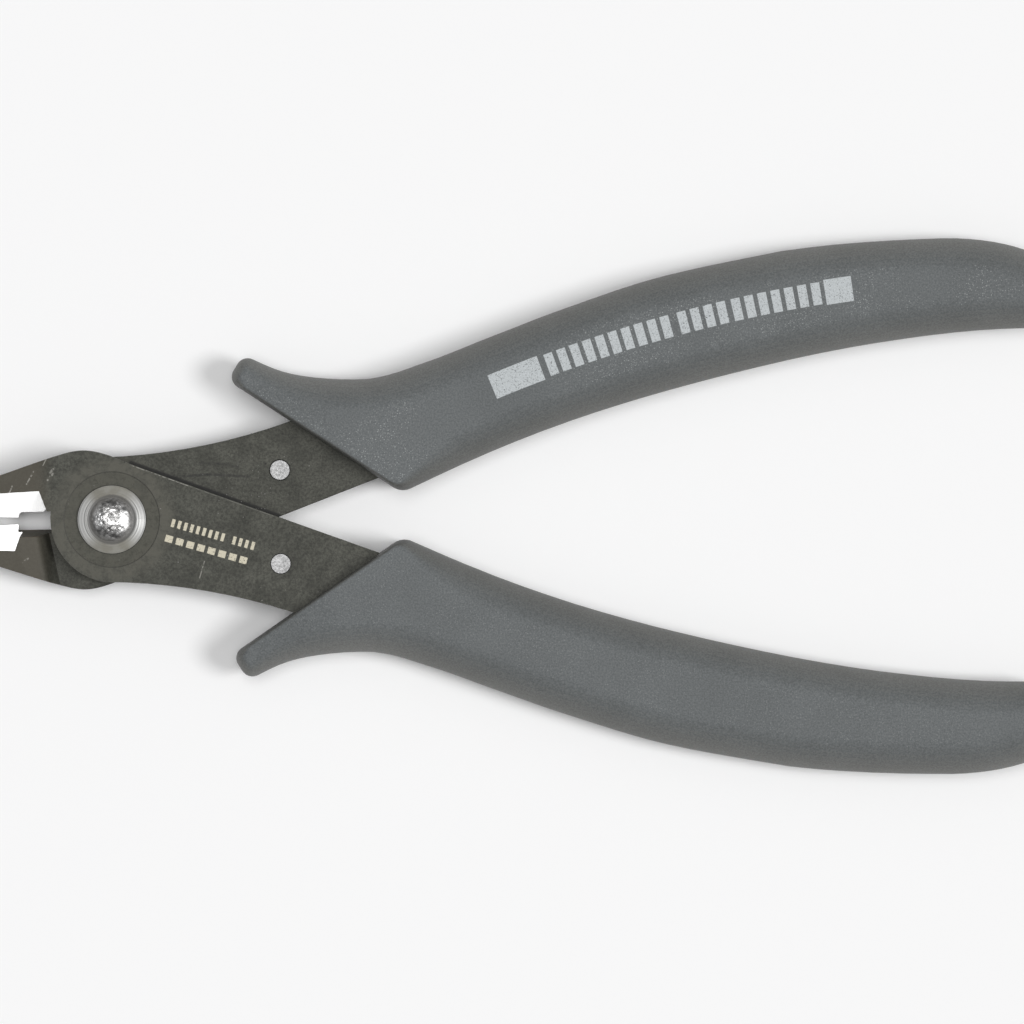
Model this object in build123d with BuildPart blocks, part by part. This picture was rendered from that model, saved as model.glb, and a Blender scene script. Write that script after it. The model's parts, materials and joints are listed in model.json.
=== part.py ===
from build123d import *
import os
from math import asin, atan2, cos, degrees, hypot, radians, sin, tan

os.makedirs("parts", exist_ok=True)

# Small nippers with two stamped steel halves that cross at a riveted pivot.
#
# The origin is under the middle of the tool, on the surface that the grips rest on.
# +X runs from the jaw tips to the handle ends, +Y to the upper grip and +Z to the front face.
# Each half is drawn in a frame of its own on the pivot axis, at the height of the joint face:
# its jaw is on the +y side, its handle on the -y side and its outer face towards +z.
# The rear half's frame is the front half's, turned over about X.

# ---- Driving dimensions, in millimetres and degrees ----
jaw_reach = 23.0  # pivot axis to the jaw tips
handle_reach = 104.0  # pivot axis to the handle ends
grip_thickness = 10.0
plate_thickness = 2.8
joint_gap = 0.05  # between the two halves where they slide on each other
beyond = 2.0  # how far cutting shapes run past what they cut

# Jaws
open_angle = 4.1  # between the cutting edges, at rest
tip_width = 0.8
tip_radius = 0.25
edge_start = 10.35  # pivot axis to the inner end of the cutting edges
throat_half = 0.98  # half the height of the relief behind the cutting edges
throat_corner = 0.6
throat_draft = 10.8  # of the rear half's throat wall, from upright
jaw_depth = 2.0  # joint face to the flush face that carries the cutting edge
tip_level = 0.75  # joint face to the jaw's bevelled face, at the tip
ramp_lean = 11.3  # of the step's foot from the Y axis
ramp_foot = 7.1  # pivot axis to the foot of the step into the jaw
ramp_run = 1.2
ramp_radius = 0.9
ridge = 7.7  # pivot axis to the edge where the jaw's outer face starts to fall
land_end = 10.4  # pivot axis to the end of the flat behind the step
front_bevel_angle = 31.8  # of the bevels from upright
rear_bevel_angle = 36.0
front_bevel_wall = [(-6.76, 0.2), (-8.9, 6)]  # where the grinding of each bevel stops
rear_bevel_wall = [(-9.5, 0.2), (-11.63, 6)]

# Boss and pivot
boss_radius = 6.7
shank_start = (-1.0, -6.78)  # where the boss runs out into the shank's outer edge
pivot_radius = 2.0
running_clearance = 0.05
spot_face_radius = 5.2
spot_face_depth = 0.08
collar_radius = 3.7
collar_rim = 0.3  # height of the collar's outer wall
collar_height = 0.9
collar_crest = 2.75  # radius of the collar's highest edge
collar_seat = 0.55  # height of the ledge that the rivet is spread over
collar_groove = 0.1  # between the collar's crest and the rivet's dome
dome_radius = 2.35
dome_height = 0.6
tail_radius = 3.0
tail_height = 0.7
rivet_rim = 0.2  # height of the straight side of the rivet's dome and tail
washer_radius = 3.9
washer_thickness = 0.5

# Return spring, and the two posts that hold its ends
post_place = (18.3, -5.1)
post_radius = 1.15
post_collar_radius = 1.9
post_head = 0.55
post_chamfer = 0.1
wire_radius = 0.6
loop_radius = 5.2
hook_clearance = 0.1
hook_turn = 215

# Tangs inside the grips
tang_end = 88.0
tang_end_bulge = 2.8
lock_holes = [(47.5, -14.4), (73.0, -22.0)]
lock_hole_radius = 1.5

# Grips, with their outlines given as (along the tool, across it) from the pivot axis
grip_edge_radius = 4.0
grip_flat = 0.05  # how deep the rounded section is cut flat, front and back
grip_apex = (31.55, -2.4)  # where the front edge meets the palm side, before rounding
apex_radius = 2.0
bar_nose = (20.5, -9.8)  # where the thick bar ends on the front edge
guard_heel = (12.75, -14.95)  # the finger guard's end runs from its heel to its tip
guard_tip = (14.5, -17.75)
guard_corner = 1.3
guard_thickness = 6.4
guard_edge_radius = 1.2
back_reach = 29.2
palm_reach = 19.25
end_start = 91.0  # where the back starts to round over towards the end
palm_end = 99.6  # where the palm side does
end_middle = 24.0
back_points = [(38.5, -18.12), (47, -21.3), (60.2, -25.5), (73.3, -28.08), (end_start, -back_reach)]
palm_points = [(86.2, -18.25), (66.5, -14.53), (46.8, -8.81), (34.5, -3.75)]
grip_sections = 14

# ---- Frames and levels worked out from them ----
pivot_x = (jaw_reach - handle_reach) / 2
front = Plane(origin=(pivot_x, 0, grip_thickness / 2))
rear = Plane(origin=front.origin, x_dir=(1, 0, 0), z_dir=(0, 0, -1))
half_open = radians(open_angle / 2)
joint_face = joint_gap / 2
wire_level = -plate_thickness - joint_gap - wire_radius
post_head_level = wire_level - wire_radius - joint_gap


def placed(frame, local):
    """A plane given in a half's own frame."""
    return Plane(frame.location * local.location)


# ---- The two plates ----
def plate_outline():
    """One half seen square on, from the cutting edge round the handle to the jaw's back."""
    tip_edge = (-jaw_reach, jaw_reach * tan(half_open))
    tip_back = (-jaw_reach, jaw_reach * tan(half_open) + tip_width)
    throat_start = (-edge_start, edge_start * tan(half_open))
    throat_top = (throat_corner - edge_start, throat_half)
    boss_top = (-((boss_radius**2 - throat_half**2) ** 0.5), throat_half)
    boss_side = (-boss_radius * cos(radians(45)), -boss_radius * sin(radians(45)))
    tang_corner = (tang_end, -20.8)
    with BuildSketch() as outline:
        with BuildLine():
            Line(tip_edge, throat_start)
            Spline(throat_start, throat_top, tangents=[(0.2, 1), (1, 0)])
            Line(throat_top, boss_top)
            ThreePointArc(boss_top, boss_side, shank_start)
            shank = ThreePointArc(shank_start, (10, -7.9), (19.2, -10.3))
            tang_back = Spline(
                shank @ 1,
                (30, -13.0),
                (45, -17.2),
                (60, -21.9),
                (75, -25.1),
                (tang_end, -26.4),
                tangents=[shank % 1, (1, -0.05)],
            )
            ThreePointArc(tang_back @ 1, (tang_end + tang_end_bulge, -23.6), tang_corner)
            tang_palm = Spline(
                tang_corner,
                (76, -19.6),
                (66, -17.5),
                (55, -13.8),
                tangents=[(-1, 0.08), (-1, 0.374)],
            )
            inner_edge = Line(tang_palm @ 1, (3.1, 5.6))
            Spline(
                inner_edge @ 1,
                (-0.44, 7.05),
                (-3.05, 7.57),
                (-5.67, 7.1),
                (-12.2, 4.98),
                tip_back,
                tangents=[inner_edge % 1, (-1, -0.36)],
            )
            Line(tip_back, tip_edge)
        make_face()
        fillet(outline.vertices().group_by(Axis.X)[0], tip_radius)
    return outline.sketch


def ground_off(frame, wall, edge_point, edge_angle, lean, flush_side):
    """The metal ground off along an edge in the flush face, up to a wall across the jaw.

    The wall runs between two points, flush_side is the flush face's side of the joint and
    lean is the ground face's angle from upright.
    """
    upward = Vector(0, 0, -flush_side)
    inward = Vector(-sin(edge_angle), -cos(edge_angle), 0)
    ground_face = Plane(
        origin=(*edge_point, flush_side * jaw_depth),
        x_dir=(-cos(edge_angle), sin(edge_angle), 0),
        z_dir=inward * cos(radians(lean)) + upward * sin(radians(lean)),
    )
    (low_x, low_y), (high_x, high_y) = wall
    far = -jaw_reach - beyond
    with BuildPart() as chips:
        with BuildSketch(frame.offset(-plate_thickness - beyond)):
            Polygon((far, low_y), (low_x, low_y), (high_x, high_y), (far, high_y), align=None)
        extrude(amount=2 * (plate_thickness + beyond))
        split(bisect_by=placed(frame, ground_face), keep=Keep.TOP)
    return chips.part


def plate(frame, outline, jaw_profile, bore, cuts, label):
    """A stamped half: its outline, thinned to a side profile, then bored and ground."""
    lean = radians(ramp_lean)
    across = Plane(
        origin=(0, 0, 0),
        x_dir=(-cos(lean), sin(lean), 0),
        z_dir=(sin(lean), cos(lean), 0),
    )
    side_on = placed(frame, across)
    step_foot = (ramp_foot, joint_face)
    step_top = (ramp_foot + ramp_run, -jaw_depth)
    shank_back = [(-handle_reach, plate_thickness), (-handle_reach, joint_face)]
    with BuildPart() as half:
        with BuildSketch(frame):
            add(outline)
        extrude(amount=plate_thickness + beyond, both=True)
        with BuildSketch(side_on) as section:
            Polygon(*shank_back, step_foot, step_top, *jaw_profile, align=None)
            fillet(section.vertices().sort_by_distance(step_top)[0], ramp_radius)
        extrude(amount=handle_reach, both=True, mode=Mode.INTERSECT)
        with Locations(frame):
            Hole(bore)
        for spot, radius in [(post_place, post_radius)] + [(s, lock_hole_radius) for s in lock_holes]:
            with Locations(frame.location * Location((*spot, 0))):
                Hole(radius)
        for cut in cuts:
            add(cut, mode=Mode.SUBTRACT)
    half.part.label = label
    return half


outline = plate_outline()
tip_far = jaw_reach + beyond

# Front plate: upper jaw and lower handle, with a spot face round the pivot
face_fall = (plate_thickness - tip_level) / (jaw_reach - ridge)
front_jaw = [
    (tip_far, -jaw_depth),
    (tip_far, plate_thickness - face_fall * (tip_far - ridge)),
    (ridge, plate_thickness),
]
front_bevel = ground_off(front, front_bevel_wall, (0, 0), half_open, front_bevel_angle, -1)
with BuildPart(front.offset(plate_thickness)) as spot_face:
    Cylinder(spot_face_radius, 2 * spot_face_depth)
front_cuts = [front_bevel, spot_face.part]
front_plate = plate(front, outline, front_jaw, pivot_radius, front_cuts, "front_plate")
export_step(front_plate.part, "parts/front_plate.step")

# Rear plate: lower jaw and upper handle
land_fall = (jaw_depth - tip_level) / (jaw_reach - land_end)
rear_jaw = [
    (land_end, -jaw_depth),
    (tip_far, land_fall * (tip_far - land_end) - jaw_depth),
    (tip_far, jaw_depth),
    (land_end, jaw_depth),
    (ridge, plate_thickness),
]
rear_bevel = ground_off(rear, rear_bevel_wall, (0, 0), half_open, rear_bevel_angle, 1)
throat_wall = [(-boss_radius, 0), (-boss_radius, 2 * throat_half)]
throat_cut = ground_off(rear, throat_wall, (0, throat_half), 0, throat_draft, 1)
throat_stop = Plane(origin=(-edge_start, 0, 0), z_dir=(1, 0, 0))
throat_cut = split(throat_cut, bisect_by=placed(rear, throat_stop), keep=Keep.TOP)
rear_bore = pivot_radius + running_clearance
rear_plate = plate(rear, outline, rear_jaw, rear_bore, [rear_bevel, throat_cut], "rear_plate")
export_step(rear_plate.part, "parts/rear_plate.step")


# ---- Turned pieces: the rivet, its collar and washer, and the spring posts ----
def turned(centre, half_section, label):
    """A piece of revolution about an upright axis, from its (radius, height) corners."""
    upright = placed(front, Plane(origin=(*centre, 0), x_dir=(1, 0, 0), z_dir=(0, -1, 0)))
    with BuildPart() as piece:
        with BuildSketch(upright):
            with BuildLine():
                Polyline(*half_section, close=True)
            make_face()
        revolve(axis=Axis(upright.origin, (0, 0, 1)))
    piece.part.label = label
    return piece


# Collar under the rivet's front end, a coned ring with a ledge for the dome
dome_base = plate_thickness + collar_seat
collar_section = [
    (pivot_radius, plate_thickness - spot_face_depth),
    (collar_radius, plate_thickness - spot_face_depth),
    (collar_radius, plate_thickness + collar_rim),
    (collar_crest, plate_thickness + collar_height),
    (dome_radius + collar_groove, dome_base),
    (pivot_radius, dome_base),
]
rivet_collar = turned((0, 0), collar_section, "rivet_collar")
export_step(rivet_collar.part, "parts/rivet_collar.step")

# Washer under the rivet's tail
washer_top = -plate_thickness - joint_gap
tail_base = washer_top - washer_thickness
washer_section = [
    (pivot_radius, washer_top),
    (washer_radius, washer_top),
    (washer_radius, tail_base),
    (pivot_radius, tail_base),
]
rear_washer = turned((0, 0), washer_section, "rear_washer")
export_step(rear_washer.part, "parts/rear_washer.step")

# Pivot rivet: a shank with a peened dome at the front and a tail at the back
dome_rim = dome_base + rivet_rim
tail_rim = tail_base - rivet_rim
dome_sphere = (dome_radius**2 + dome_height**2) / (2 * dome_height)
tail_sphere = (tail_radius**2 + tail_height**2) / (2 * tail_height)
with BuildPart() as pivot_rivet:
    with BuildSketch(placed(front, Plane(origin=(0, 0, 0), x_dir=(1, 0, 0), z_dir=(0, -1, 0)))):
        with BuildLine():
            Polyline(
                (dome_radius, dome_rim),
                (dome_radius, dome_base),
                (pivot_radius, dome_base),
                (pivot_radius, tail_base),
                (tail_radius, tail_base),
                (tail_radius, tail_rim),
            )
            RadiusArc((tail_radius, tail_rim), (0, tail_rim - tail_height), tail_sphere)
            Line((0, tail_rim - tail_height), (0, dome_rim + dome_height))
            RadiusArc((0, dome_rim + dome_height), (dome_radius, dome_rim), dome_sphere)
        make_face()
    revolve(axis=Axis(front.origin, (0, 0, 1)))
pivot_rivet.part.label = "pivot_rivet"
export_step(pivot_rivet.part, "parts/pivot_rivet.step")

# Spring posts: pins flush with the front of their plates, necked where the spring hooks on
neck_and_head = [
    (post_radius, post_head_level),
    (post_collar_radius, post_head_level),
    (post_collar_radius, post_head_level - post_head),
    (0, post_head_level - post_head),
]
front_post_section = [
    (0, plate_thickness),
    (post_radius - post_chamfer, plate_thickness),
    (post_radius, plate_thickness - post_chamfer),
    (post_radius, joint_face),
    (post_collar_radius, joint_face),
    (post_collar_radius, -plate_thickness),
    (post_radius, -plate_thickness),
    *neck_and_head,
]
front_spring_post = turned(post_place, front_post_section, "front_spring_post")
export_step(front_spring_post.part, "parts/front_spring_post.step")

rear_post_section = [
    (0, -joint_face),
    (post_radius - post_chamfer, -joint_face),
    (post_radius, -joint_face - post_chamfer),
    *neck_and_head,
]
rear_post_place = (post_place[0], -post_place[1])
rear_spring_post = turned(rear_post_place, rear_post_section, "rear_spring_post")
export_step(rear_spring_post.part, "parts/rear_spring_post.step")

# ---- Return spring: a wire loop round the pivot, hooked on the two posts ----
hook_radius = post_radius + hook_clearance + wire_radius
post_distance = hypot(*post_place)
post_bearing = degrees(atan2(-post_place[1], post_place[0]))
leg_angle = post_bearing - degrees(asin((loop_radius + hook_radius) / post_distance))
leg_length = (post_distance**2 - (loop_radius + hook_radius) ** 2) ** 0.5
with BuildPart() as return_spring:
    with BuildLine(front.offset(wire_level)):
        loop = JernArc((-loop_radius, 0), (0, 1), loop_radius, leg_angle - 90)
        leg = Line(loop @ 1, loop @ 1 + loop % 1 * leg_length)
        JernArc(leg @ 1, leg % 1, hook_radius, hook_turn)
    with BuildSketch(Plane(origin=loop @ 0, z_dir=loop % 0)):
        Circle(wire_radius)
    sweep()
    mirror(about=Plane.XZ)
return_spring.part.label = "return_spring"
export_step(return_spring.part, "parts/return_spring.step")


# ---- Grips: a rounded bar with a thinner finger guard, moulded round the tang ----
def bar_outline():
    """The grip's bar seen square on, with its rounded end and the slanting front edge."""
    back_drop = back_reach - end_middle
    palm_drop = end_middle - palm_reach
    with BuildSketch() as outline:
        with BuildLine():
            back = Spline((27, -14.85), (32.5, -15.95), *back_points, tangents=[(1, 0), (1, 0)])
            EllipticalCenterArc(
                (end_start, -end_middle), handle_reach - end_start, back_drop, 270, arc_size=90
            )
            EllipticalCenterArc(
                (palm_end, -end_middle), handle_reach - palm_end, palm_drop, 0, arc_size=90
            )
            palm = Spline((palm_end, -palm_reach), *palm_points, tangents=[(-1, 0), (-1, 0.46)])
            Polyline(palm @ 1, grip_apex, bar_nose, back @ 0)
        make_face()
        fillet(outline.vertices().sort_by_distance(grip_apex)[0], apex_radius)
    return outline.sketch


def guard_outline():
    """The finger guard seen square on, reaching back into the bar."""
    with BuildSketch() as outline:
        with BuildLine():
            back = Spline(
                guard_tip,
                (18.5, -15.92),
                (22.3, -15.12),
                (27, -14.85),
                (32, -15.6),
                tangents=[(1, 0.5), (1, -0.3)],
            )
            Polyline(back @ 1, (33, -4.5), grip_apex, guard_heel, guard_tip)
        make_face()
        for corner in (guard_heel, guard_tip):
            fillet(outline.vertices().sort_by_distance(corner)[0], guard_corner)
        fillet(outline.vertices().sort_by_distance(grip_apex)[0], apex_radius)
    return outline.sketch


def grip(frame, tang, label):
    """One grip: its bar lofted between the back and the palm, its guard, and the tang's space."""
    bar_shape = bar_outline()
    guard_shape = guard_outline()
    overrun = handle_reach + 1
    with BuildLine(frame) as back:
        Spline((19.2, -8.9), (26.5, -14.4), (32.5, -15.95), *back_points, (overrun, -back_reach))
    with BuildLine(frame) as palm:
        Spline((30.6, -1.96), *reversed(palm_points), (palm_end, -palm_reach), (overrun, -19.4))
    with BuildPart() as guard:
        with BuildSketch(frame):
            add(guard_shape)
        extrude(amount=guard_thickness / 2, both=True)
        fillet(guard.edges().filter_by(Plane.XY), guard_edge_radius)
    with BuildPart() as moulding:
        for step in range(grip_sections + 1):
            outer = back.line @ (step / grip_sections)
            inner = palm.line @ (step / grip_sections)
            across = outer - inner
            along = across.cross(Vector(0, 0, 1))
            with BuildSketch(Plane(origin=(outer + inner) / 2, x_dir=across, z_dir=along)):
                RectangleRounded(across.length, grip_thickness + 2 * grip_flat, grip_edge_radius)
        loft()
        with BuildSketch(frame):
            add(bar_shape)
        extrude(amount=grip_thickness / 2, both=True, mode=Mode.INTERSECT)
        add(guard.part)
        add(tang.part, mode=Mode.SUBTRACT)
    moulding.part.label = label
    return moulding


lower_grip = grip(front, front_plate, "lower_grip")
export_step(lower_grip.part, "parts/lower_grip.step")

upper_grip = grip(rear, rear_plate, "upper_grip")
export_step(upper_grip.part, "parts/upper_grip.step")
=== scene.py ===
import json
from math import asin, atan2, cos, hypot, pi, radians, sin, tau
from types import SimpleNamespace

import bmesh
import bpy
import numpy as np
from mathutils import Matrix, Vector, geometry


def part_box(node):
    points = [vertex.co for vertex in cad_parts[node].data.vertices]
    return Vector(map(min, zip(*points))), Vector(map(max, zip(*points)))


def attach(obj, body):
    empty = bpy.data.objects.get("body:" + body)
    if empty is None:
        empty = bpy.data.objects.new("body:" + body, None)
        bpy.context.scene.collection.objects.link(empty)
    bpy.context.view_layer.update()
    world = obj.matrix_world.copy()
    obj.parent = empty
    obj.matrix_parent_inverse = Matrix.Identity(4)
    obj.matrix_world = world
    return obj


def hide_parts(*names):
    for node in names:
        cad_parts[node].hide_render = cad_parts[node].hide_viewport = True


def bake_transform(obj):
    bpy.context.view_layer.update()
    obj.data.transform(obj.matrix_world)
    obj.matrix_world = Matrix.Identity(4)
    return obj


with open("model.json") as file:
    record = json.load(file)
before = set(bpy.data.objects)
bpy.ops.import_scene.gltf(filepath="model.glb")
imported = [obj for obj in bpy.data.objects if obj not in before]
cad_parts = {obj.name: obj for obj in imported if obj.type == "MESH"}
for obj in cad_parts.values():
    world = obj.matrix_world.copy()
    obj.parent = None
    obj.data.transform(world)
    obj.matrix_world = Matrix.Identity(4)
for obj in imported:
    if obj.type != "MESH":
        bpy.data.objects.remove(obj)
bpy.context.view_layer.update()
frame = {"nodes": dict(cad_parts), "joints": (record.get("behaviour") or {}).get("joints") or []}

# Sizes below are in millimetres and are turned into metres by MM. Places on the plates and the
# grips are given as (along the tool, across it) from the pivot axis.
MM = 0.001
pivot = Vector(frame["joints"][0]["pos_m"])
FRONT, REAR = "front_half", "rear_half"

# ---- Camera: straight down on the tool as it lies ----
LENS = 400.0
SENSOR = 36.0
VIEW_WIDTH = 111.6
VIEW_MIDDLE = (43.53, 0.12)
VIEW_ROLL = -0.92


def make_camera():
    """A long lens over the pivot, far enough for the view's width."""
    data = bpy.data.cameras.new("camera")
    data.lens = LENS
    data.sensor_width = SENSOR
    data.clip_start = 0.01
    data.clip_end = 100.0
    camera = bpy.data.objects.new("camera", data)
    distance = VIEW_WIDTH * MM * LENS / SENSOR
    along, across = VIEW_MIDDLE
    camera.location = pivot + Vector((along * MM, across * MM, distance))
    camera.rotation_euler = (0, 0, radians(VIEW_ROLL))
    bpy.context.scene.collection.objects.link(camera)
    bpy.context.scene.camera = camera


# ---- Shader helpers ----
def node(tree, kind, inputs=None, **settings):
    """A shader node, its inputs given as values or as other nodes' sockets."""
    made = tree.nodes.new(kind)
    for key, value in settings.items():
        setattr(made, key, value)
    for key, value in (inputs or {}).items():
        if isinstance(value, bpy.types.NodeSocket):
            tree.links.new(value, made.inputs[key])
        else:
            made.inputs[key].default_value = value
    return made


def new_material(name, **values):
    """A material, its node tree and its Principled shader with plain values set."""
    made = bpy.data.materials.new(name)
    made.use_nodes = True
    shader = made.node_tree.nodes["Principled BSDF"]
    for key, value in values.items():
        shader.inputs[key.replace("_", " ").title().replace("Ior", "IOR")].default_value = value
    return made, made.node_tree, shader


def maths(tree, how, *values, clamp=False):
    inputs = dict(enumerate(values))
    return node(tree, "ShaderNodeMath", inputs, operation=how, use_clamp=clamp).outputs[0]


def times(tree, product, *others):
    """The product of several values."""
    for other in others:
        product = maths(tree, "MULTIPLY", product, other)
    return product


def vector_maths(tree, how, *values, output=0):
    inputs = dict(enumerate(values))
    return node(tree, "ShaderNodeVectorMath", inputs, operation=how).outputs[output]


def scaled(tree, vector, share):
    """A fixed vector, made as long as a share says."""
    made = node(tree, "ShaderNodeVectorMath", {0: vector}, operation="SCALE")
    tree.links.new(share, made.inputs["Scale"])
    return made.outputs[0]


def ramp(tree, value, low, high, curve="SMOOTHSTEP"):
    """How far the value is from low to high, from 0 to 1. low may be the larger."""
    flipped = low > high
    ends = (1.0, 0.0) if flipped else (0.0, 1.0)
    return node(
        tree,
        "ShaderNodeMapRange",
        {0: value, 1: min(low, high), 2: max(low, high), 3: ends[0], 4: ends[1]},
        interpolation_type=curve,
    ).outputs[0]


def mix(tree, share, colour_a, colour_b, how="MIX"):
    """The first colour where the share is 0, and the second where it is 1."""
    return node(
        tree,
        "ShaderNodeMix",
        {0: share, 6: colour_a, 7: colour_b},
        data_type="RGBA",
        blend_type=how,
    ).outputs[2]


def tint(tree, tone, where, strength, colour):
    """The tone with a colour laid over part of it."""
    return mix(tree, times(tree, where, strength), tone, colour)


def noise(tree, place, size, detail=2.0, roughness=0.5, distortion=0.0):
    """Noise whose features are about size millimetres wide."""
    return node(
        tree,
        "ShaderNodeTexNoise",
        {
            "Vector": place,
            "Scale": 1 / size,
            "Detail": detail,
            "Roughness": roughness,
            "Distortion": distortion,
        },
    ).outputs[0]


def specks(tree, place, spacing, radius):
    """Round specks, one in each cell, and a random number for each cell."""
    cells = node(tree, "ShaderNodeTexVoronoi", {"Vector": place, "Scale": 1 / spacing})
    share = radius / spacing
    dots = ramp(tree, cells.outputs["Distance"], share, 0.5 * share)
    luck = node(tree, "ShaderNodeSeparateColor", {0: cells.outputs["Color"]}).outputs[0]
    return dots, luck


def bump(tree, shader, height, depth, strength=1.0, normal=None):
    inputs = {"Height": height, "Strength": strength, "Distance": depth * MM}
    if normal is not None:
        inputs["Normal"] = normal
    made = node(tree, "ShaderNodeBump", inputs)
    tree.links.new(made.outputs[0], shader.inputs["Normal"])
    return made.outputs[0]


def place_mm(tree):
    """A point's place on its piece at rest, in millimetres from the pivot axis and mid-plane."""
    coords = node(tree, "ShaderNodeTexCoord").outputs["Object"]
    moved = vector_maths(tree, "SUBTRACT", coords, tuple(pivot))
    return vector_maths(tree, "MULTIPLY", moved, (1 / MM, 1 / MM, 1 / MM))


def split(tree, vector):
    """A vector's three parts."""
    made = node(tree, "ShaderNodeSeparateXYZ", {0: vector})
    return made.outputs[0], made.outputs[1], made.outputs[2]


def radius_of(tree, place, centre=(0, 0)):
    """How far a place is from a centre, seen from the front."""
    flat = vector_maths(tree, "MULTIPLY", place, (1, 1, 0))
    return vector_maths(tree, "DISTANCE", flat, (*centre, 0), output=1)


def scratch(tree, place, start, end, width):
    """A thin straight mark between two places on a flat face."""
    flat = vector_maths(tree, "MULTIPLY", place, (1, 1, 0))
    start, end = Vector((*start, 0)), Vector((*end, 0))
    run = end - start
    off = vector_maths(tree, "SUBTRACT", flat, tuple(start))
    share = vector_maths(tree, "DOT_PRODUCT", off, tuple(run / run.length_squared), output=1)
    share = maths(tree, "ADD", share, 0.0, clamp=True)
    nearest = scaled(tree, tuple(run), share)
    gap = vector_maths(tree, "DISTANCE", off, nearest, output=1)
    return ramp(tree, gap, width, 0.3 * width)


def window(tree, value, low, high, soft=0.03):
    """1 between low and high, with a soft edge."""
    rise = ramp(tree, value, low - soft, low + soft)
    fall = ramp(tree, value, high + soft, high - soft)
    return times(tree, rise, fall)


def bars(tree, value, windows, soft=0.03):
    """1 inside any of the windows."""
    total = None
    for low, high in windows:
        part = window(tree, value, low, high, soft)
        total = part if total is None else maths(tree, "MAXIMUM", total, part)
    return total


def grey(level, warmth=0.0):
    """A grey, made a little yellower by warmth."""
    return (level * (1 + warmth), level, level * (1 - 1.5 * warmth), 1.0)


def facing_up(tree):
    """How squarely the surface faces front or back: 1 on the flats, 0 on the walls."""
    normal = node(tree, "ShaderNodeNewGeometry").outputs["True Normal"]
    return maths(tree, "ABSOLUTE", split(tree, normal)[2])


# ---- Grip plastic and its print ----
GRIP_FLAT = (0.152, 0.163, 0.166, 1)
# painted reflection: the walls' lighter grey stands in for the floor's light on them
GRIP_WALL_REFLECTION = (0.204, 0.207, 0.197, 1)
# painted glints: flecks painted bright only on the flats, where they would catch the light
GRIP_FLECK_GLINT = (0.36, 0.375, 0.375, 1)
FLECK_GLINTS = ((0.19, 0.075, 2.0), (0.36, 0.085, 2.5))  # spacing, radius, and how rare bright ones are
INK_DARK = (0.40, 0.425, 0.435, 1)
INK_LIGHT = (0.60, 0.635, 0.65, 1)
PRINT_ARC = [(41.6, 13.7), (60.63, 19.94), (81.19, 23.84)]  # three places that it passes through
PRINT_SOFT = 0.06
BAR_REACH = 1.25  # from the arc to a bar's end
BLOCK_REACH = 1.4
BAR_PITCH = 1.46
BAR_WIDTH = 0.98
BAR_GROUPS = [(6.4, 10), (21.45, 4), (27.45, 7)]  # where each group starts, and its bars
BLOCKS = [(0.0, 5.7), (37.65, 40.65)]


def circle_through(a, b, c):
    """The centre and radius of the circle through three points."""
    (ax, ay), (bx, by), (cx, cy) = a, b, c
    system = np.array([[bx - ax, by - ay], [cx - ax, cy - ay]])
    known = np.array([bx**2 - ax**2 + by**2 - ay**2, cx**2 - ax**2 + cy**2 - ay**2]) / 2
    centre = np.linalg.solve(system, known)
    return centre, hypot(ax - centre[0], ay - centre[1])


def repeated(groups, pitch, width):
    """The spans of evenly spaced bars, from where each group starts and how many bars it has."""
    starts = [first + step * pitch for first, count in groups for step in range(count)]
    return [(start, start + width) for start in starts]


def along_print(tree, place):
    """How far a place is along the print's arc, how far off the arc, and how high."""
    centre, radius = circle_through(*PRINT_ARC)
    first_x, first_y = PRINT_ARC[0]
    start = atan2(first_y - centre[1], first_x - centre[0])
    off = vector_maths(tree, "SUBTRACT", place, (*centre, 0))
    x, y, height = split(tree, off)
    flat = vector_maths(tree, "MULTIPLY", off, (1, 1, 0))
    across = maths(tree, "SUBTRACT", vector_maths(tree, "LENGTH", flat, output=1), radius)
    angle = maths(tree, "ARCTAN2", y, x)
    along = maths(tree, "MULTIPLY", maths(tree, "SUBTRACT", start, angle), radius)
    return along, maths(tree, "ABSOLUTE", across), height


def print_row(tree, along, off_arc, spans, reach):
    """Plain shapes at the spans, as tall as the reach on both sides of the arc."""
    return times(tree, bars(tree, along, spans), ramp(tree, off_arc, reach, reach - PRINT_SOFT))


def print_mask(tree, place):
    """Plain bars between plain blocks, a little worn, on the upper grip's front face."""
    along, off_arc, height = along_print(tree, place)
    spans = repeated(BAR_GROUPS, BAR_PITCH, BAR_WIDTH)
    bar_part = print_row(tree, along, off_arc, spans, BAR_REACH)
    block_part = print_row(tree, along, off_arc, BLOCKS, BLOCK_REACH)
    ink = maths(tree, "MAXIMUM", bar_part, block_part)
    worn = ramp(tree, noise(tree, place, 0.14, 2, 0.7), 0.3, 0.46)
    front = ramp(tree, height, 3.0, 4.0)
    return times(tree, ink, worn, front)


def plastic_tone(tree, place, flat, grain):
    """The plastic's own grey, a little cloudy and grained, with the walls painted lighter as a
    painted reflection.
    """
    tone = mix(tree, ramp(tree, flat, 0.4, 1.0, "LINEAR"), GRIP_WALL_REFLECTION, GRIP_FLAT)
    cloud = noise(tree, place, 7.0, 3)
    tone = mix(tree, ramp(tree, cloud, 0.35, 0.65), tone, grey(0.93), "MULTIPLY")
    return mix(tree, ramp(tree, grain, 0.38, 0.62, "LINEAR"), tone, grey(0.7), "MULTIPLY")


def with_fleck_glints(tree, place, flat, level, tone):
    """Small flecks painted bright as glints on the flats, in two sizes and in patches."""
    strength = times(tree, ramp(tree, flat, 0.93, 0.995), level)
    strength = times(tree, strength, ramp(tree, noise(tree, place, 9.0, 2), 0.3, 0.6))
    for spacing, radius, rarity in FLECK_GLINTS:
        dots, luck = specks(tree, place, spacing, radius)
        bright = times(tree, maths(tree, "POWER", luck, rarity), strength)
        share = maths(tree, "MULTIPLY", dots, bright, clamp=True)
        tone = mix(tree, share, tone, GRIP_FLECK_GLINT)
    return tone


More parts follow.
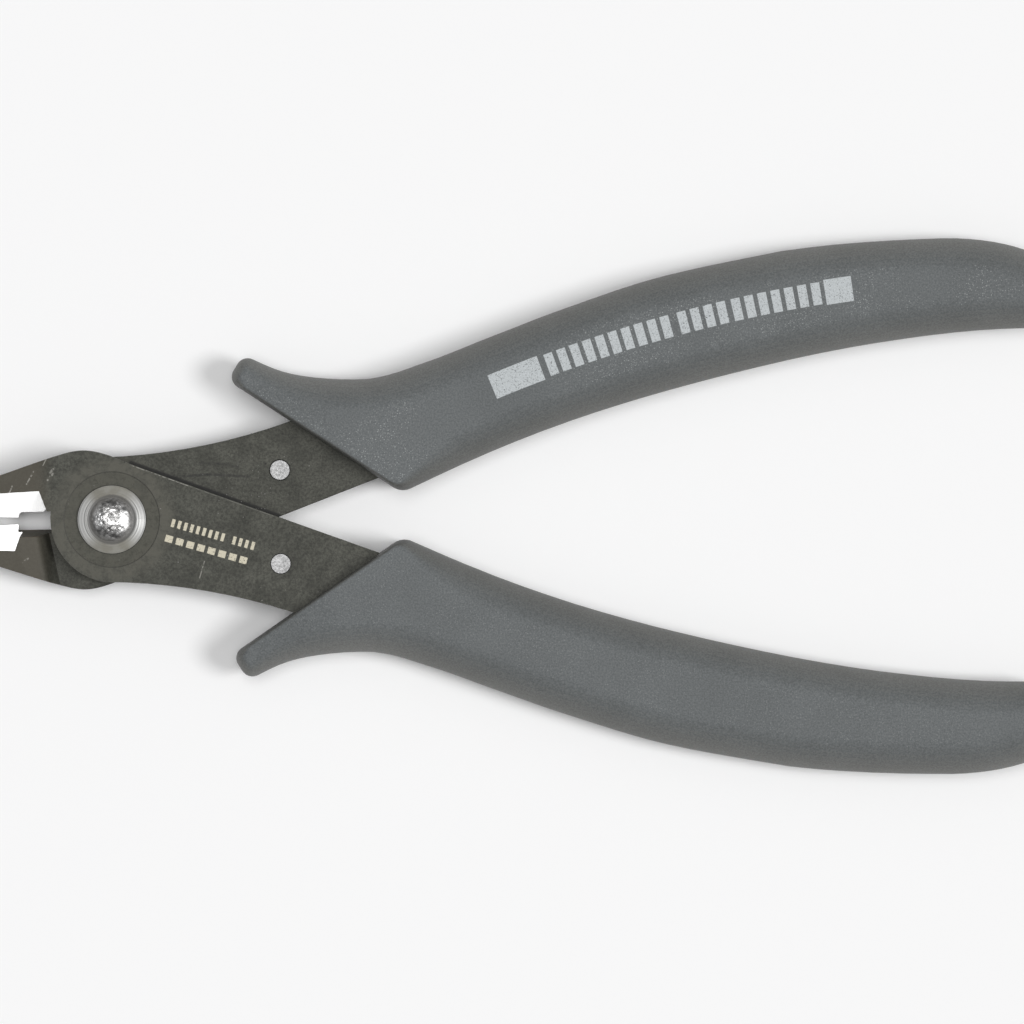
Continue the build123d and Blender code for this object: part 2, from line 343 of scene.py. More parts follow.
def grip_plastic(name, fleck_glint_level, printed=False):
    """Grey moulded plastic: matt and finely grained, its walls painted lighter as a painted
    reflection, and small flecks painted bright as glints on the flats.
    """
    made, tree, shader = new_material(name, roughness=0.55, specular_ior_level=0.2)
    place = place_mm(tree)
    flat = facing_up(tree)
    grain = noise(tree, place, 0.2, 2, 0.8)
    tone = plastic_tone(tree, place, flat, grain)
    tone = with_fleck_glints(tree, place, flat, fleck_glint_level, tone)
    if printed:
        ink = mix(tree, noise(tree, place, 0.2, 1), INK_DARK, INK_LIGHT)
        tone = mix(tree, print_mask(tree, place), tone, ink)
    tree.links.new(tone, shader.inputs["Base Color"])
    bump(tree, shader, grain, 0.03, 0.35)
    return made


# ---- Blackened steel ----
STEEL_DARK = (0.056, 0.0565, 0.0465, 1)
STEEL_LIGHT = (0.098, 0.0985, 0.083, 1)
OIL_BROWN = (0.094, 0.091, 0.075, 1)
JAW_BROWN = (0.090, 0.081, 0.064, 1)
RUST = (0.15, 0.085, 0.04, 1)
BARE_STEEL = (0.33, 0.32, 0.29, 1)
GROUND_LIGHT = (0.98, 0.98, 0.975, 1)
GROUND_DARK = (0.91, 0.91, 0.905, 1)
# Painted edge tones: a painted highlight along the front plate's edges and painted shade along the
# rear plate's edges.
FRONT_EDGE_HIGHLIGHT = (0.75, (0.17, 0.166, 0.15, 1))  # how strong the stamped edge's tone is, and the tone
REAR_EDGE_SHADE = (0.7, (0.012, 0.011, 0.009, 1))
EDGE_RADIUS = 0.1
BEVEL_LIFT = (0, 0, 3.8)  # turns the bevels' normals up, so they shine straight at the photo's view

RING_DULL = (0.055, 0.054, 0.042, 1)
RING_SPOT = (0.036, 0.036, 0.028, 1)
RING_RADIUS = 5.2
COLLAR_RADIUS = 3.7

MARK_TONE = (0.56, 0.52, 0.41, 1)
MARK_PLACE = (6.5, -0.45)
MARK_ANGLE = -16.8
UPPER_MARKS = ([(0.0, 9), (6.9, 4)], 0.7, 0.36)  # groups, pitch and width
LOWER_MARKS = ([(-0.2, 8)], 1.2, 0.82)
UPPER_MARKS_ACROSS = (-0.44, 0.44)
LOWER_MARKS_ACROSS = (-2.15, -1.4)

# Rub arcs are (places, width, depth), and scratches are (start, end, width, depth)
RUB_ARCS = [
    ([(6.2, 4.45), (10.4, 4.75), (14.9, 4.45)], 0.2, 0.55),
    ([(9.6, 6.0), (11.6, 5.9), (13.8, 5.5)], 0.2, 0.3),
]
# A painted shadow: a dark line on the rear plate beside the front plate's inner edge, where that
# edge lies at rest
EDGE_SHADOW_LINE = [(2.1, 6.12), (18.1, 0.1)]  # beside the front plate's inner edge
EDGE_SHADOW_WIDTH = 0.36
DUST_MIDDLE = (15.0, 2.2)
FRONT_SCRATCHES = [
    ((-9.2, 4.0), (-8.4, 5.4), 0.12, 0.8),
    ((-11.1, 3.1), (-10.8, 3.8), 0.1, 0.8),
    ((-6.9, 4.4), (-6.3, 5.1), 0.16, 0.7),
    ((-6.6, 5.2), (-6.2, 5.7), 0.2, 0.5),
    ((-7.4, 6.0), (-6.9, 6.9), 0.08, 0.8),
    ((10.0, -4.7), (9.45, -6.5), 0.09, 0.6),
    ((2.2, 5.86), (8.4, 3.52), 0.07, 0.7),
    ((8.4, 3.52), (17.6, 0.08), 0.05, 0.35),
]
REAR_SCRATCHES = [
    ((-9.8, -4.5), (-9.2, -4.1), 0.14, 0.5),
    ((11.0, 9.0), (12.2, 9.3), 0.1, 0.4),
]


def mark_mask(tree, place):
    """Two rows of small plain bars on the front plate, a little worn."""
    off = vector_maths(tree, "SUBTRACT", place, (*MARK_PLACE, 0))
    turn = {"Vector": off, "Angle": -radians(MARK_ANGLE)}
    turned = node(tree, "ShaderNodeVectorRotate", turn).outputs[0]
    along, across, height = split(tree, turned)
    upper = bars(tree, along, repeated(*UPPER_MARKS))
    upper = times(tree, upper, window(tree, across, *UPPER_MARKS_ACROSS))
    lower = bars(tree, along, repeated(*LOWER_MARKS))
    lower = times(tree, lower, window(tree, across, *LOWER_MARKS_ACROSS))
    ink = maths(tree, "MAXIMUM", upper, lower)
    worn = ramp(tree, noise(tree, place, 0.2, 2, 0.7), 0.28, 0.45)
    front = ramp(tree, height, 2.6, 2.7)
    return times(tree, ink, worn, front)


def rounded_edges(tree, radius):
    """A softened normal, and a mask of the places near an edge."""
    soft = node(tree, "ShaderNodeBevel", {"Radius": radius * MM}, samples=6).outputs[0]
    true = node(tree, "ShaderNodeNewGeometry").outputs["True Normal"]
    agreement = vector_maths(tree, "DOT_PRODUCT", soft, true, output=1)
    return soft, ramp(tree, agreement, 0.995, 0.9)


def on_jaw(tree, place):
    """A mask of the jaws, which grows towards their tips."""
    return ramp(tree, split(tree, place)[0], -6.0, -8.5)


def stamped_tone(tree, place, cloud, grain):
    """The blackened surface: cloudy and grained, oily round the pivot, and brown on the jaws."""
    tone = mix(tree, ramp(tree, cloud, 0.3, 0.7), STEEL_DARK, STEEL_LIGHT)
    tone = mix(tree, ramp(tree, grain, 0.38, 0.62, "LINEAR"), tone, grey(0.5), "MULTIPLY")
    stains = ramp(tree, noise(tree, place, 1.3, 4, 0.7), 0.42, 0.6)
    near_pivot = ramp(tree, radius_of(tree, place), 7.4, 6.0)
    oily = times(tree, maths(tree, "MULTIPLY_ADD", stains, 0.55, 0.45), near_pivot)
    tone = tint(tree, tone, oily, 0.8, OIL_BROWN)
    return tint(tree, tone, on_jaw(tree, place), 0.75, JAW_BROWN)


def with_dust(tree, place, tone):
    """Dark pits and pale dust."""
    pits, luck = specks(tree, place, 1.7, 0.14)
    pits = times(tree, pits, ramp(tree, luck, 0.72, 0.8))
    tone = tint(tree, tone, pits, 0.7, grey(0.012))
    dots, luck = specks(tree, place, 0.9, 0.08)
    dust = times(tree, dots, ramp(tree, luck, 0.68, 0.95))
    return tint(tree, tone, dust, 0.6, grey(0.28, 0.03))


def with_painted_edge_tone_and_rust(tree, place, edge, strength, colour, tone):
    """A painted tone along the stamped edges, a painted highlight on the front plate and painted
    shade on the rear one, with rust along the jaws.
    """
    tone = tint(tree, tone, edge, strength, colour)
    rust = ramp(tree, noise(tree, place, 0.7, 3, 0.6), 0.4, 0.6)
    rust = times(tree, rust, edge, times(tree, on_jaw(tree, place), 0.7))
    return mix(tree, rust, tone, RUST)


def worn_places(tree, place, edge, scratches):
    """Bare metal: patches along the edges, and broken scratches on the front face."""
    patchy = ramp(tree, noise(tree, place, 0.9, 4, 0.7), 0.56, 0.68)
    worn = times(tree, edge, times(tree, patchy, 0.5))
    above_middle = ramp(tree, split(tree, place)[2], -0.2, 0.2)
    front = times(tree, ramp(tree, facing_up(tree), 0.7, 0.9), above_middle)
    for start, end, width, depth in scratches:
        line = times(tree, scratch(tree, place, start, end, width), front)
        broken = ramp(tree, noise(tree, place, 0.3, 2), 0.4, 0.55)
        worn = maths(tree, "MAXIMUM", worn, times(tree, line, broken, depth))
    return worn


def front_traces(tree, place, tone):
    """Round the collar, a dull spotted ring between painted shade in the crease at the collar's
    foot and painted shade along the spot face's step, and the marks.
    """
    radius = radius_of(tree, place)
    zone = window(tree, radius, COLLAR_RADIUS, RING_RADIUS, 0.1)
    tone = tint(tree, tone, zone, 0.3, RING_DULL)
    spots = ramp(tree, noise(tree, place, 0.5, 3, 0.7), 0.54, 0.66)
    tone = mix(tree, times(tree, spots, zone, 0.5), tone, RING_SPOT)
    # painted shade: a dark line in the crease where the collar meets the plate, and another along
    # the spot face's step
    crease_shade = window(tree, radius, COLLAR_RADIUS - 0.05, COLLAR_RADIUS + 0.08, 0.05)
    tone = tint(tree, tone, crease_shade, 0.6, grey(0.02))
    rim = window(tree, radius, RING_RADIUS - 0.04, RING_RADIUS + 0.04, 0.06)
    tone = tint(tree, tone, rim, 0.45, grey(0.015))
    return mix(tree, mark_mask(tree, place), tone, MARK_TONE)


def rear_traces(tree, place, tone):
    """Where the front plate has rubbed the rear one: dark arcs; and by its edge, a painted shadow
    line and dust.
    """
    for points, width, depth in RUB_ARCS:
        for start, end in zip(points, points[1:]):
            line = scratch(tree, place, start, end, width)
            patchy = ramp(tree, noise(tree, place, 1.2, 3), 0.3, 0.5)
            tone = mix(tree, times(tree, line, patchy, depth), tone, grey(0.018))
    front = ramp(tree, facing_up(tree), 0.7, 0.9)
    # painted shadow line beside the front plate's edge
    edge_shadow = times(tree, scratch(tree, place, *EDGE_SHADOW_LINE, EDGE_SHADOW_WIDTH), front)
    tone = tint(tree, tone, edge_shadow, 0.85, grey(0.012))
    dots, luck = specks(tree, place, 0.32, 0.075)
    near = ramp(tree, radius_of(tree, place, DUST_MIDDLE), 6.0, 2.0)
    dust = times(tree, dots, ramp(tree, luck, 0.55, 0.9), near)
    return tint(tree, tone, dust, 0.45, grey(0.3, 0.02))


def cutting_bevel(tree, place, facet_side):
    """A mask of the ground bevel on one side of the cutting edge, and the bevel's tone."""
    normal = node(tree, "ShaderNodeNewGeometry").outputs["True Normal"]
    sideways, upward = split(tree, normal)[1:]
    slanted = window(tree, upward, 0.42, 0.68, 0.02)
    facing = ramp(tree, times(tree, sideways, facet_side), 0.6, 0.7)
    ahead = ramp(tree, split(tree, place)[0], -6.0, -6.4)
    grinding = vector_maths(tree, "MULTIPLY", place, (9.0, 0.6, 0.6))
    lines = ramp(tree, noise(tree, grinding, 1.0, 3, 0.7), 0.3, 0.7)
    return times(tree, slanted, facing, ahead), mix(tree, lines, GROUND_LIGHT, GROUND_DARK)


def blackened_steel(name, facet_side, painted_edge_tone, scratches, traces):
    """Blackened steel with worn edges under a painted edge tone, light scratches and a bright
    ground cutting bevel.
    """
    made, tree, shader = new_material(name, specular_ior_level=0.2)
    place = place_mm(tree)
    cloud = noise(tree, place, 2.6, 4, 0.6)
    grain = noise(tree, place, 0.3, 3, 0.85)
    soft, edge = rounded_edges(tree, EDGE_RADIUS)
    worn = worn_places(tree, place, edge, scratches)
    bevel, ground = cutting_bevel(tree, place, facet_side)

    tone = stamped_tone(tree, place, cloud, grain)
    tone = with_dust(tree, place, tone)
    tone = with_painted_edge_tone_and_rust(tree, place, edge, *painted_edge_tone, tone)
    tone = mix(tree, worn, tone, BARE_STEEL)
    tone = traces(tree, place, tone)
    tone = mix(tree, bevel, tone, ground)
    tree.links.new(tone, shader.inputs["Base Color"])

    metal = times(tree, maths(tree, "MAXIMUM", worn, 0.5), 0.3)
    tree.links.new(maths(tree, "MAXIMUM", metal, bevel), shader.inputs["Metallic"])
    satin = mix(tree, bevel, mix(tree, cloud, grey(0.48), grey(0.62)), grey(0.42))
    tree.links.new(satin, shader.inputs["Roughness"])
    lifted = vector_maths(tree, "ADD", soft, scaled(tree, BEVEL_LIFT, bevel))
    bump(tree, shader, grain, 0.03, 0.35, vector_maths(tree, "NORMALIZE", lifted))
    return made


# ---- Bright steels ----
COLLAR_DULL = (0.40, 0.385, 0.335, 1)
COLLAR_BRIGHT = (0.47, 0.46, 0.415, 1)
COLLAR_FLANK_HIGHLIGHT = (0.97, 0.97, 0.95, 1)
DIMPLE_SIZE = 0.42


def outward(tree, place):
    """The direction away from the pivot axis, across the fine rings that turning leaves."""
    return vector_maths(tree, "NORMALIZE", vector_maths(tree, "MULTIPLY", place, (1, 1, 0)))


def turned_steel():
    """Bright turned steel with fine rings, a painted reflection on both flanks and painted shade
    round the dome.
    """
    made, tree, shader = new_material("turned_steel", metallic=0.5, anisotropic=0.7)
    place = place_mm(tree)
    radius = radius_of(tree, place)
    by_radius = node(tree, "ShaderNodeCombineXYZ", {0: radius}).outputs[0]
    rings = noise(tree, by_radius, 0.16, 3, 0.7)
    sideways = maths(tree, "DIVIDE", split(tree, place)[0], radius)
    # painted reflection: the flanks' near-white and their deeper ring streaks stand in for the
    # lamps' reflections
    flank_highlight = ramp(tree, maths(tree, "ABSOLUTE", sideways), 0.5, 0.95)
    cloud = ramp(tree, noise(tree, place, 1.1, 3), 0.35, 0.65)
    tone = mix(tree, cloud, COLLAR_DULL, COLLAR_BRIGHT)
    tone = mix(tree, flank_highlight, tone, COLLAR_FLANK_HIGHLIGHT)
    depth = maths(tree, "MULTIPLY_ADD", flank_highlight, 0.75, 0.15)
    streaks = times(tree, ramp(tree, rings, 0.4, 0.6), depth)
    tone = mix(tree, streaks, tone, grey(0.36), "MULTIPLY")
    # painted shade on the inner lip, in the groove round the dome
    inner = ramp(tree, radius, 2.8, 2.62)
    tone = tint(tree, tone, inner, 0.8, grey(0.15, 0.02))
    tree.links.new(maths(tree, "MULTIPLY_ADD", inner, 0.5, 0.32), shader.inputs["Roughness"])
    tree.links.new(tone, shader.inputs["Base Color"])
    tree.links.new(outward(tree, place), shader.inputs["Tangent"])
    bump(tree, shader, rings, 0.012, 0.5)
    return made


def dome_tone(tree, place, radius):
    """The dome's greys: dark patches, a painted highlight lobe on each side, and a dull rim."""
    cloud = ramp(tree, noise(tree, place, 0.8, 3), 0.35, 0.65)
    tone = mix(tree, cloud, grey(0.12, 0.01), grey(0.5, 0.01))
    x, y = split(tree, place)[:2]
    # painted highlight: a bright lobe on each side of the dome
    highlight_lobes = window(tree, maths(tree, "ABSOLUTE", x), 1.05, 1.75, 0.3)
    highlight_lobes = times(tree, highlight_lobes, ramp(tree, maths(tree, "ABSOLUTE", y), 1.3, 0.5))
    tone = tint(tree, tone, highlight_lobes, 0.75, grey(0.85))
    return mix(tree, ramp(tree, radius, 1.9, 2.2), tone, grey(0.24, 0.02))


def peened_steel():
    """Bright hammered steel, dimpled on the rivet's dome."""
    made, tree, shader = new_material("peened_steel", metallic=1.0)
    place = place_mm(tree)
    radius = radius_of(tree, place)
    matt = maths(tree, "MULTIPLY_ADD", ramp(tree, radius, 1.4, 2.3), 0.3, 0.3)
    tree.links.new(matt, shader.inputs["Roughness"])
    cells = {"Vector": place, "Scale": 1 / DIMPLE_SIZE}
    dimples = node(tree, "ShaderNodeTexVoronoi", cells, feature="SMOOTH_F1").outputs["Distance"]
    rough = times(tree, noise(tree, place, 0.3, 3, 0.6), 0.8)
    tree.links.new(dome_tone(tree, place, radius), shader.inputs["Base Color"])
    bump(tree, shader, maths(tree, "ADD", dimples, rough), 0.09, 0.6)
    return made


def plain_steel(name, level, roughness, grain_size=0.2, grain_depth=0.02):
    """Bright steel with a fine grain."""
    made, tree, shader = new_material(name, roughness=roughness, metallic=1.0)
    place = place_mm(tree)
    grain = noise(tree, place, grain_size, 3, 0.75)
    cloud = noise(tree, place, 1.4, 2)
    tone = mix(tree, ramp(tree, grain, 0.3, 0.7), grey(level * 0.6), grey(level * 1.2))
    tone = mix(tree, ramp(tree, cloud, 0.3, 0.7), tone, grey(0.86), "MULTIPLY")
    tree.links.new(tone, shader.inputs["Base Color"])
    bump(tree, shader, grain, grain_depth, 0.5)
    return made


def dress(material, *names):
    """Give CAD nodes a material."""
    for name in names:
        slots = frame["nodes"][name].data.materials
        slots.clear()
        slots.append(material)


# ---- Grips: a smooth moulded skin over each CAD grip's outline ----
RING_STEPS = (9, 20, 31, 42, 53, 64, 76, 90)  # degrees round the edge, one ring of points each
RING_SHARES = [1 - cos(radians(step)) for step in RING_STEPS]
FLAT_SHARE = 1.02  # where the flat starts, as a share of the edge radius
OUTLINE_STEP = 0.3
INNER_STEP = 0.6
ROW_SPACING = 0.87  # of rows of points, as a share of their step
FRONT_ANGLE = 33.72  # of the slanting front edge from the tool's length
FRONT_RADIUS = 0.45
FRONT_POWER = 2.6  # squarer than a round edge, which has 2
FLASH = 0.05  # how far the moulding's parting line stands out
SEAM_INSET = 1.6  # of the first ring, as a share of the flash
LEAST_HEIGHT = 0.04
BAR_RADIUS = 3.7
SIDE_RADII = [(0, 0.9), (3, 1.3), (5.5, 1.8), (12, 3.0), (20, BAR_RADIUS), (1e3, BAR_RADIUS)]
APEX_RUN = 9.0
GUARD_HALF = 3.2
BAR_HALF = 5.0
GUARD_START, GUARD_END = -1.0, 12.0  # where the guard's thickness grows into the bar's
DISTANCE_BATCH = 1500


def linked_ends(edges):
    """Each vertex's neighbours along the edges."""
    links = {}
    for edge in edges:
        a, b = edge.verts
        links.setdefault(a, []).append(b)
        links.setdefault(b, []).append(a)
    return links


def longest_loop(links):
    """The vertex places of the longest loop in a set of links."""
    loops = []
    while links:
        here = next(iter(links))
        loop = []
        while here in links:
            loop.append(here.co.copy())
            onward = [other for other in links.pop(here) if other in links]
            if not onward:
                break
            here = onward[0]
        loops.append(loop)
    return max(loops, key=len)


def mid_outline(name):
    """A CAD grip's outline at the mid-plane, as (along, across) with its palm side up."""
    cut = bmesh.new()
    cut.from_mesh(frame["nodes"][name].data)
    bmesh.ops.remove_doubles(cut, verts=cut.verts[:], dist=0.001 * MM)
    parts = cut.verts[:] + cut.edges[:] + cut.faces[:]
    level = pivot + Vector((0, 0, 0.003 * MM))
    made = bmesh.ops.bisect_plane(cut, geom=parts, plane_co=level, plane_no=(0, 0, 1))
    edges = [part for part in made["geom_cut"] if isinstance(part, bmesh.types.BMEdge)]
    loop = longest_loop(linked_ends(edges))
    points = np.array([((p.x - pivot.x) / MM, p.y / MM) for p in loop])
    cut.free()
    if points[:, 1].mean() > 0:
        points[:, 1] *= -1
    return points


def even_points(points, step):
    """A closed line's points, evenly spaced and anticlockwise."""
    closed = np.vstack([points, points[:1]])
    area = np.sum(closed[:-1, 0] * closed[1:, 1] - closed[1:, 0] * closed[:-1, 1])
    if area < 0:
        closed = closed[::-1]
    runs = np.hypot(*np.diff(closed, axis=0).T)
    keep = np.r_[True, runs > 1e-6]
    closed, runs = closed[keep], runs[keep[1:]]
    far = np.r_[0, np.cumsum(runs)]
    count = int(far[-1] / step)
    at = np.arange(count) * far[-1] / count
    return np.column_stack([np.interp(at, far, closed[:, k]) for k in (0, 1)])


def edge_distance(places, starts, ends, radii):
    """Each place's smallest distance to the edge, as a share of the edge radius there."""
    run = ends - starts
    length = (run**2).sum(1)
    best = np.full(len(places), np.inf)
    for first in range(0, len(places), DISTANCE_BATCH):
        batch = slice(first, first + DISTANCE_BATCH)
        off = places[batch, None, :] - starts[None]
        share = np.clip((off * run).sum(2) / length, 0, 1)
        gap = np.hypot(*np.moveaxis(off - share[..., None] * run, 2, 0))
        best[batch] = (gap / radii).min(1)
    return best


def grip_shape(name):
    """A grip's outline, its slanting front edge, and its other edges with each one's radius."""
    outline = even_points(mid_outline(name), OUTLINE_STEP)
    turn = radians(FRONT_ANGLE)
    shape = SimpleNamespace(outline=outline, ends=np.roll(outline, -1, axis=0))
    shape.inward = np.array([sin(turn), -cos(turn)])
    shape.forward = np.array([cos(turn), sin(turn)])
    depth = outline @ shape.inward
    shape.front_level = depth.min()
    on_front = depth - shape.front_level < 0.03
    along = outline @ shape.forward
    heel = np.where(on_front)[0][np.argmin(along[on_front])]
    shape.heel_at = shape.forward @ outline[heel]
    count = len(outline)
    order = (np.arange(count) + heel) % count
    shape.side = order[~(on_front[order] & on_front[(order + 1) % count])]
    shape.radii = side_radii(shape)
    return shape


def side_radii(shape):
    """Each edge's radius: it grows from the heel, and again from the apex the other way."""
    spacing = np.hypot(*(shape.ends[0] - shape.outline[0]))
    far = np.arange(len(shape.side)) * spacing
    left = len(shape.side) * spacing - far
    from_heel = np.interp(far, *np.array(SIDE_RADII).T)
    from_apex = FRONT_RADIUS + (BAR_RADIUS - FRONT_RADIUS) * np.minimum(1.0, left / APEX_RUN)
    radii = np.full(len(shape.outline), FRONT_RADIUS)
    radii[shape.side] = np.minimum(from_heel, from_apex)
    return radii


def profile(share, power):
    """The height of a rounded edge, from 0 at the outline to 1 where the flat starts."""
    left = np.clip(1 - share, 0, 1)
    return (1 - left**power) ** (1 / power)


def smooth(share):
    """A share from 0 to 1 with an even start and end."""
    share = np.clip(share, 0, 1)
    return share * share * (3 - 2 * share)


def half_height(shape, places):
    """The skin's height over the mid-plane, and how far in each place is from the edges."""
    front = (places @ shape.inward - shape.front_level - FLASH) / FRONT_RADIUS
    side = shape.side
    rest = edge_distance(places, shape.outline[side], shape.ends[side], shape.radii[side])
    rest = rest - FLASH / 3.0
    from_heel = places @ shape.forward - shape.heel_at
    grown = smooth((from_heel - GUARD_START) / (GUARD_END - GUARD_START))
    tall = GUARD_HALF + (BAR_HALF - GUARD_HALF) * grown
    return tall * profile(front, FRONT_POWER) * profile(rest, 2.0), np.minimum(front, rest)


def inside_outline(places, outline):
    """Which places lie inside a closed line, by counting its crossings."""
    ends = np.roll(outline, -1, axis=0)
    inside = np.zeros(len(places), bool)
    for (ax, ay), (bx, by) in zip(outline, ends):
        if ay == by:
            continue
        spans = (ay > places[:, 1]) != (by > places[:, 1])
        crossing = ax + (places[:, 1] - ay) * (bx - ax) / (by - ay)
        inside ^= spans & (places[:, 0] < crossing)
    return inside


def even_grid(outline):
    """A triangular pattern of points over the outline's box."""
    low, high = outline.min(0), outline.max(0)
    row_step = INNER_STEP * ROW_SPACING
    grid = np.mgrid[low[0] : high[0] : INNER_STEP, low[1] : high[1] : row_step]
    grid[0, :, ::2] += INNER_STEP / 2
    return grid.reshape(2, -1).T


def inner_points(shape):
    """Points inside the outline: rings where the edge curves, and a grid over the flat."""
    outline = shape.outline
    tangent = np.roll(outline, -1, axis=0) - np.roll(outline, 1, axis=0)
    tangent /= np.hypot(*tangent.T)[:, None]
    inward = np.column_stack([-tangent[:, 1], tangent[:, 0]])
    sets = [(outline + inward * SEAM_INSET * FLASH, SEAM_INSET * FLASH / BAR_RADIUS)]
    for share in RING_SHARES:
        sets.append((outline + inward * (shape.radii * share + FLASH)[:, None], share))
    sets.append((even_grid(outline), FLAT_SHARE))
    kept = []
    for places, share in sets:
        places = places[inside_outline(places, outline)]
        reach = half_height(shape, places)[1]
        # A point that another edge is nearer to is left out
        kept.append(places[reach > 0.8 * share - 0.01])
    return np.vstack(kept)


def skin_mesh(flat, faces, heights, rims, mirror):
    """An upper and a lower sheet over the same flat pattern, joined along the rim."""
    mesh = bmesh.new()
    upper, lower = [], []
    for (along, across), height, rim in zip(flat, heights, rims):
        spot = Vector((along * MM, mirror * across * MM, 0)) + pivot
        rise = Vector((0, 0, height * MM))
        top = mesh.verts.new(spot + rise)
        upper.append(top)
        lower.append(top if rim else mesh.verts.new(spot - rise))
    for face in faces:
        mesh.faces.new([upper[i] for i in face])
        mesh.faces.new([lower[i] for i in face[::-1]])
    bmesh.ops.recalc_face_normals(mesh, faces=mesh.faces[:])
    return mesh


def add_piece(mesh, name, material):
    """A smooth-shaded object made from a bmesh."""
    data = bpy.data.meshes.new(name)
    mesh.to_mesh(data)
    mesh.free()
    data.materials.append(material)
    data.shade_smooth()
    piece = bpy.data.objects.new(name, data)
    bpy.context.scene.collection.objects.link(piece)
    return piece


def make_grip(name, body, material):
    """A grip's skin, which takes the place of its CAD node."""
    shape = grip_shape(name)
    outline = shape.outline
    points = np.vstack([outline, inner_points(shape)])
    border = list(range(len(outline)))
    pattern = geometry.delaunay_2d_cdt([Vector(p) for p in points], [], [border], 1, 1e-4)
    flat, faces = np.array([tuple(p) for p in pattern[0]]), pattern[2]
    rims = edge_distance(flat, outline, shape.ends, np.ones(len(outline))) < 1e-3
    heights = np.maximum(half_height(shape, flat)[0], LEAST_HEIGHT)
    heights[rims] = 0
    mesh = skin_mesh(flat, faces, heights, rims, -1 if body == REAR else 1)
    piece = add_piece(mesh, name + "_skin", material)
    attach(piece, body)
    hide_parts(name)
    return piece


# ---- Return spring: one wire, bent round the pivot and hooked on both posts ----
WIRE_SIDES = 16
HOOK_TURN = 215
LOOP_STEPS = 24
LEG_STEPS = 24
HOOK_STEPS = 40
UP = Vector((0, 0, 1))


def arc(centre, radius, start, sweep, steps):
    """Points along an arc, with both of its ends."""
    angles = [start + step / steps * sweep for step in range(steps + 1)]
    return [centre + Vector((radius * cos(a), radius * sin(a), 0)) for a in angles]


def spring_half(loop, hook, post):
    """Half the wire's centre line: from behind the pivot along one leg and round its post."""
    far = hypot(post.x, post.y)
    lean = atan2(post.y, post.x) - asin((loop + hook) / far)
    reach = (far**2 - (loop + hook) ** 2) ** 0.5
    half = arc(Vector(), loop, pi, lean - pi / 2, LOOP_STEPS)
    heading = Vector((cos(lean), sin(lean), 0))
    leg_start = half[-1]
    leg_end = leg_start + heading * reach
    half += [leg_start.lerp(leg_end, step / LEG_STEPS) for step in range(1, LEG_STEPS)]
    middle = leg_end + UP.cross(heading) * hook
    return half + arc(middle, hook, lean - pi / 2, radians(HOOK_TURN), HOOK_STEPS)


def spring_path():
    """The wire's centre line from the front post to the rear one, and the wire's radius."""
    low, high = (Vector(corner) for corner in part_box("return_spring"))
    post_low, post_high = (Vector(corner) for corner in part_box("rear_spring_post"))
    wire = (high.z - low.z) / 2
    loop = pivot.x - low.x - wire
    post = (post_low + post_high) / 2 - pivot
    hook = high.x - (post.x + pivot.x) - wire
    half = spring_half(loop, hook, post)
    other = [Vector((p.x, -p.y, 0)) for p in reversed(half[1:])]
    base = Vector((pivot.x, pivot.y, (high.z + low.z) / 2))
    return [base + p for p in other + half], wire


def tube(path, radius):
    """A round tube along a level path, closed at both ends."""
    mesh = bmesh.new()
    rings = []
    for i, point in enumerate(path):
        before, after = path[max(i - 1, 0)], path[min(i + 1, len(path) - 1)]
        side = (after - before).normalized().cross(UP)
        turns = [tau * step / WIRE_SIDES for step in range(WIRE_SIDES)]
        spokes = [side * cos(turn) + UP * sin(turn) for turn in turns]
        rings.append([mesh.verts.new(point + spoke * radius) for spoke in spokes])
    for ring, following in zip(rings, rings[1:]):
        for k in range(WIRE_SIDES):
            j = (k + 1) % WIRE_SIDES
            mesh.faces.new([ring[k], ring[j], following[j], following[k]])
    mesh.faces.new(rings[0])
    mesh.faces.new(rings[-1][::-1])
    bmesh.ops.recalc_face_normals(mesh, faces=mesh.faces[:])
    return mesh


def make_spring(material):
    """The spring's wire, a tube along its centre line."""
    piece = add_piece(tube(*spring_path()), "return_spring_wire", material)
    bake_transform(piece)
    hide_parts("return_spring")
    return piece


# ---- Floor and light ----
FLOOR_SIZE = 3.0  # metres
FLOOR_TONE = (0.93, 0.93, 0.932, 1)
WORLD_LOW = 0.12
WORLD_HIGH = 0.34
# Each sun's direction, power and spread in degrees
KEY_SUN = ((0.62, -0.07, 1.0), 1.30, 17)
TOP_SUN = ((-0.05, 0.05, 1.0), 1.30, 25)


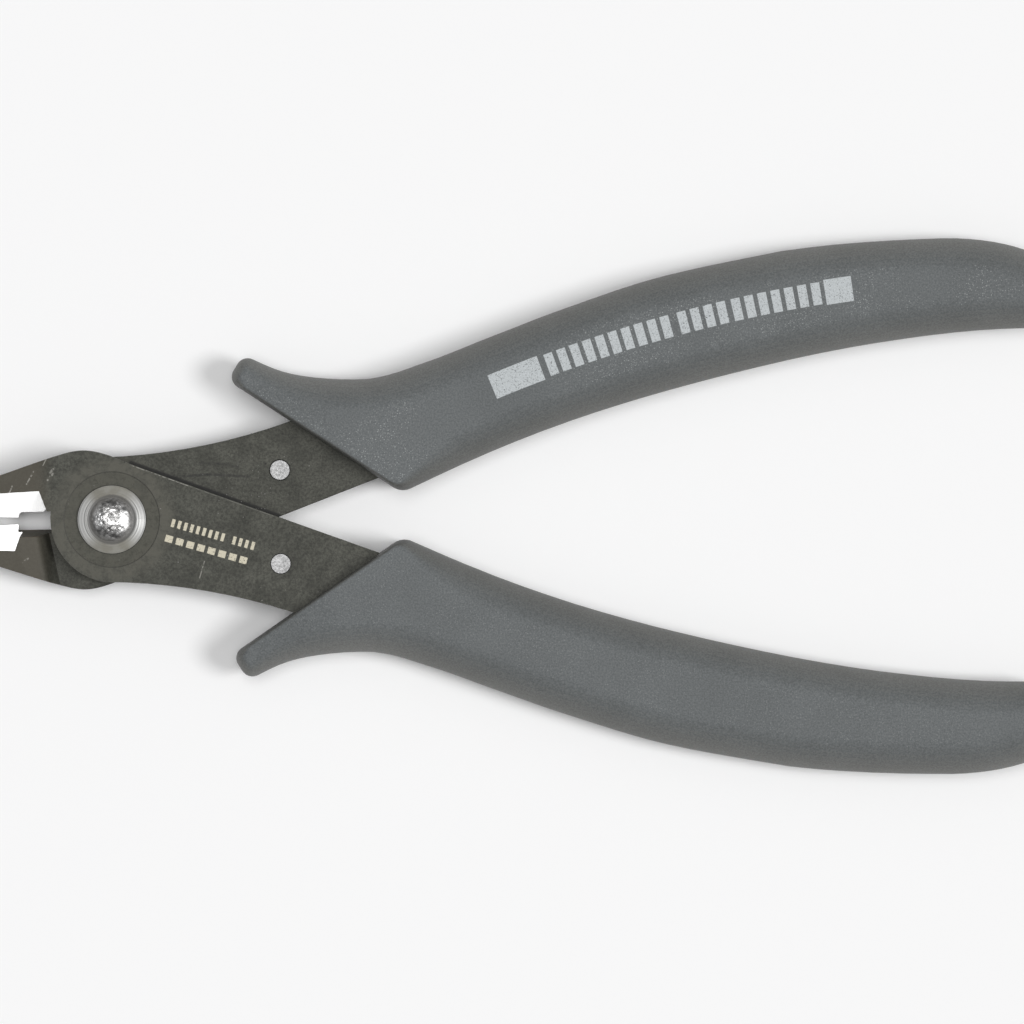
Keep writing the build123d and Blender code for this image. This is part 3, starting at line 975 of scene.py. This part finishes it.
def floor():
    """A plain pale floor, which isn't part of the object."""
    bpy.ops.mesh.primitive_plane_add(size=FLOOR_SIZE, location=(0, 0, 0))
    plane = bpy.context.object
    plane.name = "floor"
    paper = new_material(
        "floor", roughness=0.9, base_color=FLOOR_TONE, specular_ior_level=0.0
    )[0]
    plane.data.materials.append(paper)


def sun(name, direction, power, spread):
    """A soft distant lamp, with the direction that its light comes from."""
    data = bpy.data.lights.new(name, "SUN")
    data.energy = power
    data.angle = radians(spread)
    lamp = bpy.data.objects.new(name, data)
    lamp.rotation_euler = Vector(direction).to_track_quat("Z", "Y").to_euler()
    bpy.context.scene.collection.objects.link(lamp)


def light():
    """A white sky that is brighter overhead, and two soft suns."""
    world = bpy.data.worlds.new("studio")
    world.use_nodes = True
    tree = world.node_tree
    sky = node(tree, "ShaderNodeTexCoord").outputs["Generated"]
    overhead = ramp(tree, split(tree, sky)[2], 0.35, 0.95)
    glow = maths(tree, "MULTIPLY_ADD", overhead, WORLD_HIGH - WORLD_LOW, WORLD_LOW)
    background = tree.nodes["Background"]
    background.inputs["Color"].default_value = (1, 1, 1, 1)
    tree.links.new(glow, background.inputs["Strength"])
    bpy.context.scene.world = world
    sun("key", *KEY_SUN)
    sun("top", *TOP_SUN)


# ---- The scene ----
bpy.context.scene.view_settings.view_transform = "Standard"
make_camera()
floor()
light()

front_steel = blackened_steel("front_steel", -1, FRONT_EDGE_HIGHLIGHT, FRONT_SCRATCHES, front_traces)
rear_steel = blackened_steel("rear_steel", 1, REAR_EDGE_SHADE, REAR_SCRATCHES, rear_traces)
pin_steel = plain_steel("pin_steel", 0.335, 0.5, grain_size=0.26, grain_depth=0.08)
wire_steel = plain_steel("spring_steel", 0.4, 0.33, grain_size=0.1, grain_depth=0.01)
dress(front_steel, "front_plate")
dress(rear_steel, "rear_plate")
dress(turned_steel(), "rivet_collar")
dress(peened_steel(), "pivot_rivet")
dress(pin_steel, "front_spring_post", "rear_spring_post")
dress(plain_steel("washer_steel", 0.42, 0.4), "rear_washer")
make_grip("lower_grip", FRONT, grip_plastic("lower_grip_plastic", 0.35))
make_grip("upper_grip", REAR, grip_plastic("upper_grip_plastic", 0.9, printed=True))
make_spring(wire_steel)
